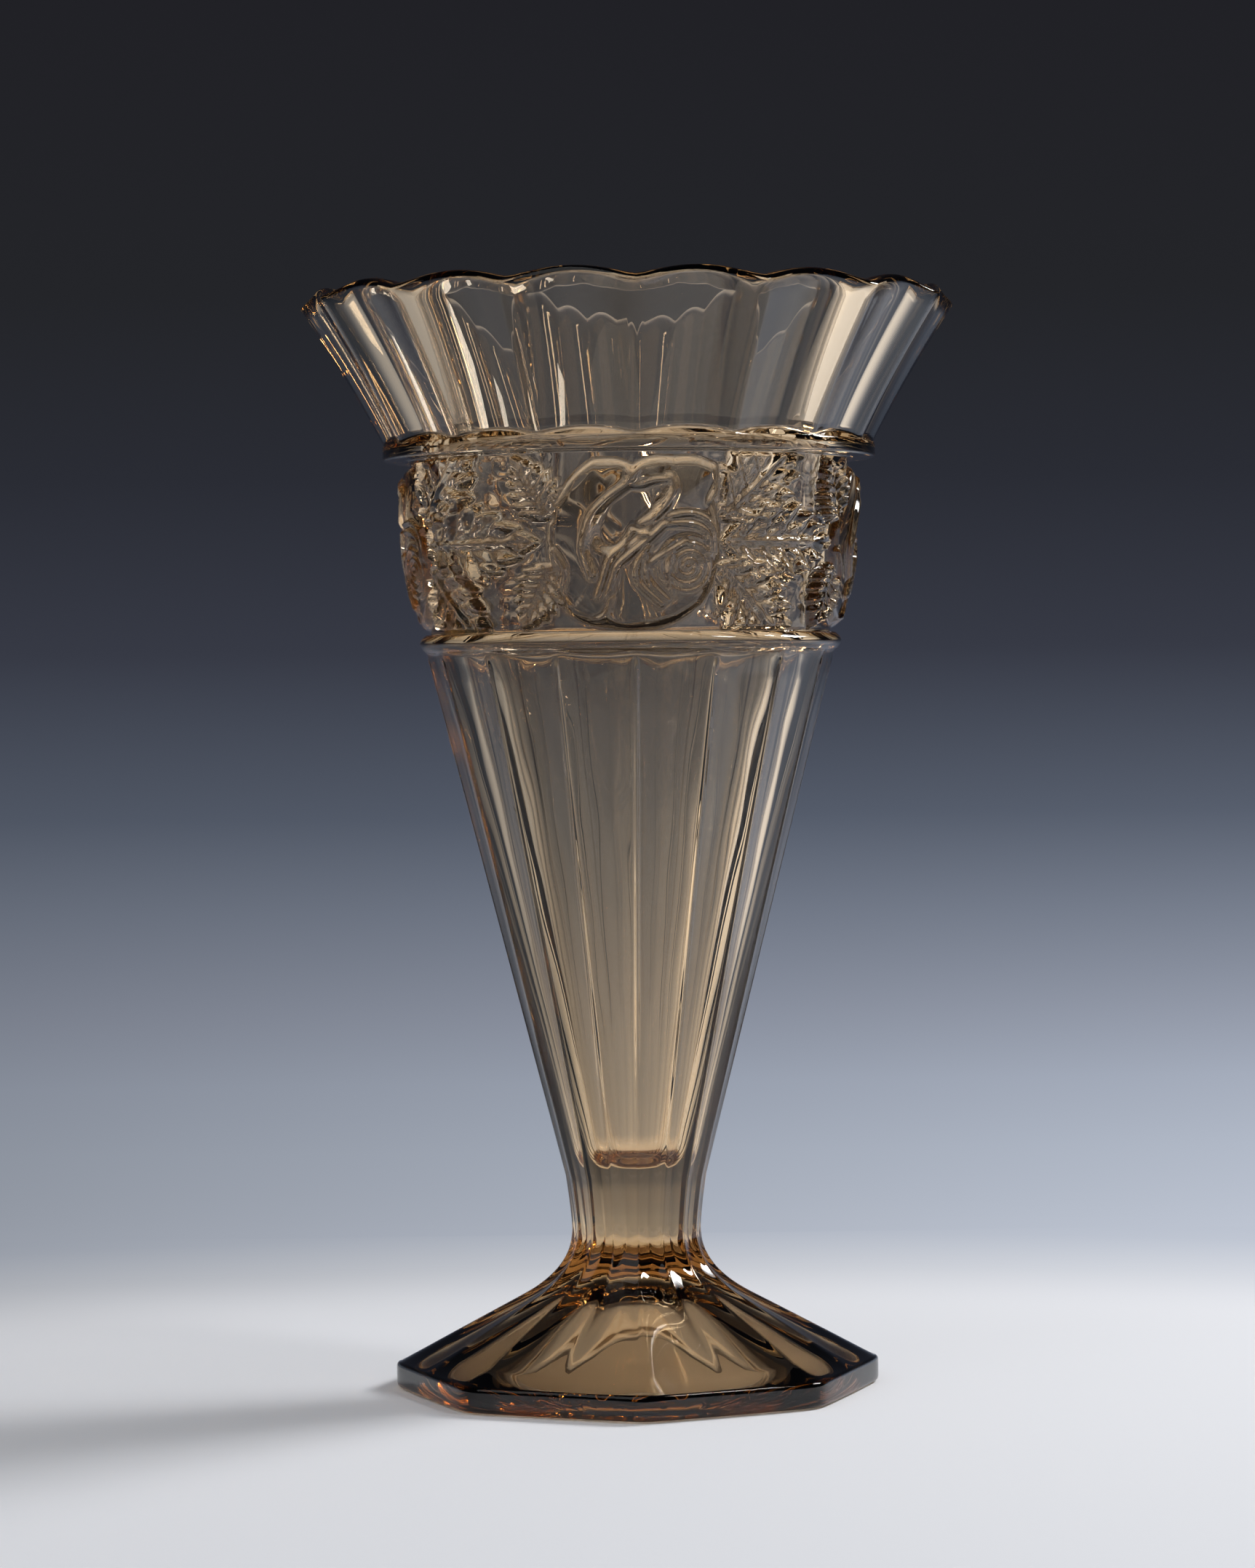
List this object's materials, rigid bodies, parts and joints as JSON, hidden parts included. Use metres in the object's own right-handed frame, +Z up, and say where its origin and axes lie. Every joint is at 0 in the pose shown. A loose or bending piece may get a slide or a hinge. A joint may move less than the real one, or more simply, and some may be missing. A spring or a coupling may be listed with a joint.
{
  "type": "chalice vase",
  "caption": "Footed pressed-glass vase with a panelled conical bowl, a band of roses and leaves in relief, a scalloped trumpet lip and an octagonal foot; holds cut flowers in water.",
  "frame": {"origin": "middle of the underside of the foot, on the plane that the vase stands on", "axes": "+Z up along the vase's axis; one rose and one ridge face -Y"},
  "size_m": [0.1434, 0.1434, 0.24],
  "materials": {
    "topaz_glass": "clear smoky topaz pressed glass, fire-polished, browner where it is thick"
  },
  "bodies": {
    "root": {"foot": "topaz_glass", "stem": "topaz_glass", "bowl": "topaz_glass", "lower_collar": "topaz_glass", "frieze_quarter_1": "topaz_glass", "frieze_quarter_2": "topaz_glass", "frieze_quarter_3": "topaz_glass", "frieze_quarter_4": "topaz_glass", "upper_collar": "topaz_glass", "flared_lip": "topaz_glass"}
  },
  "joints": []
}
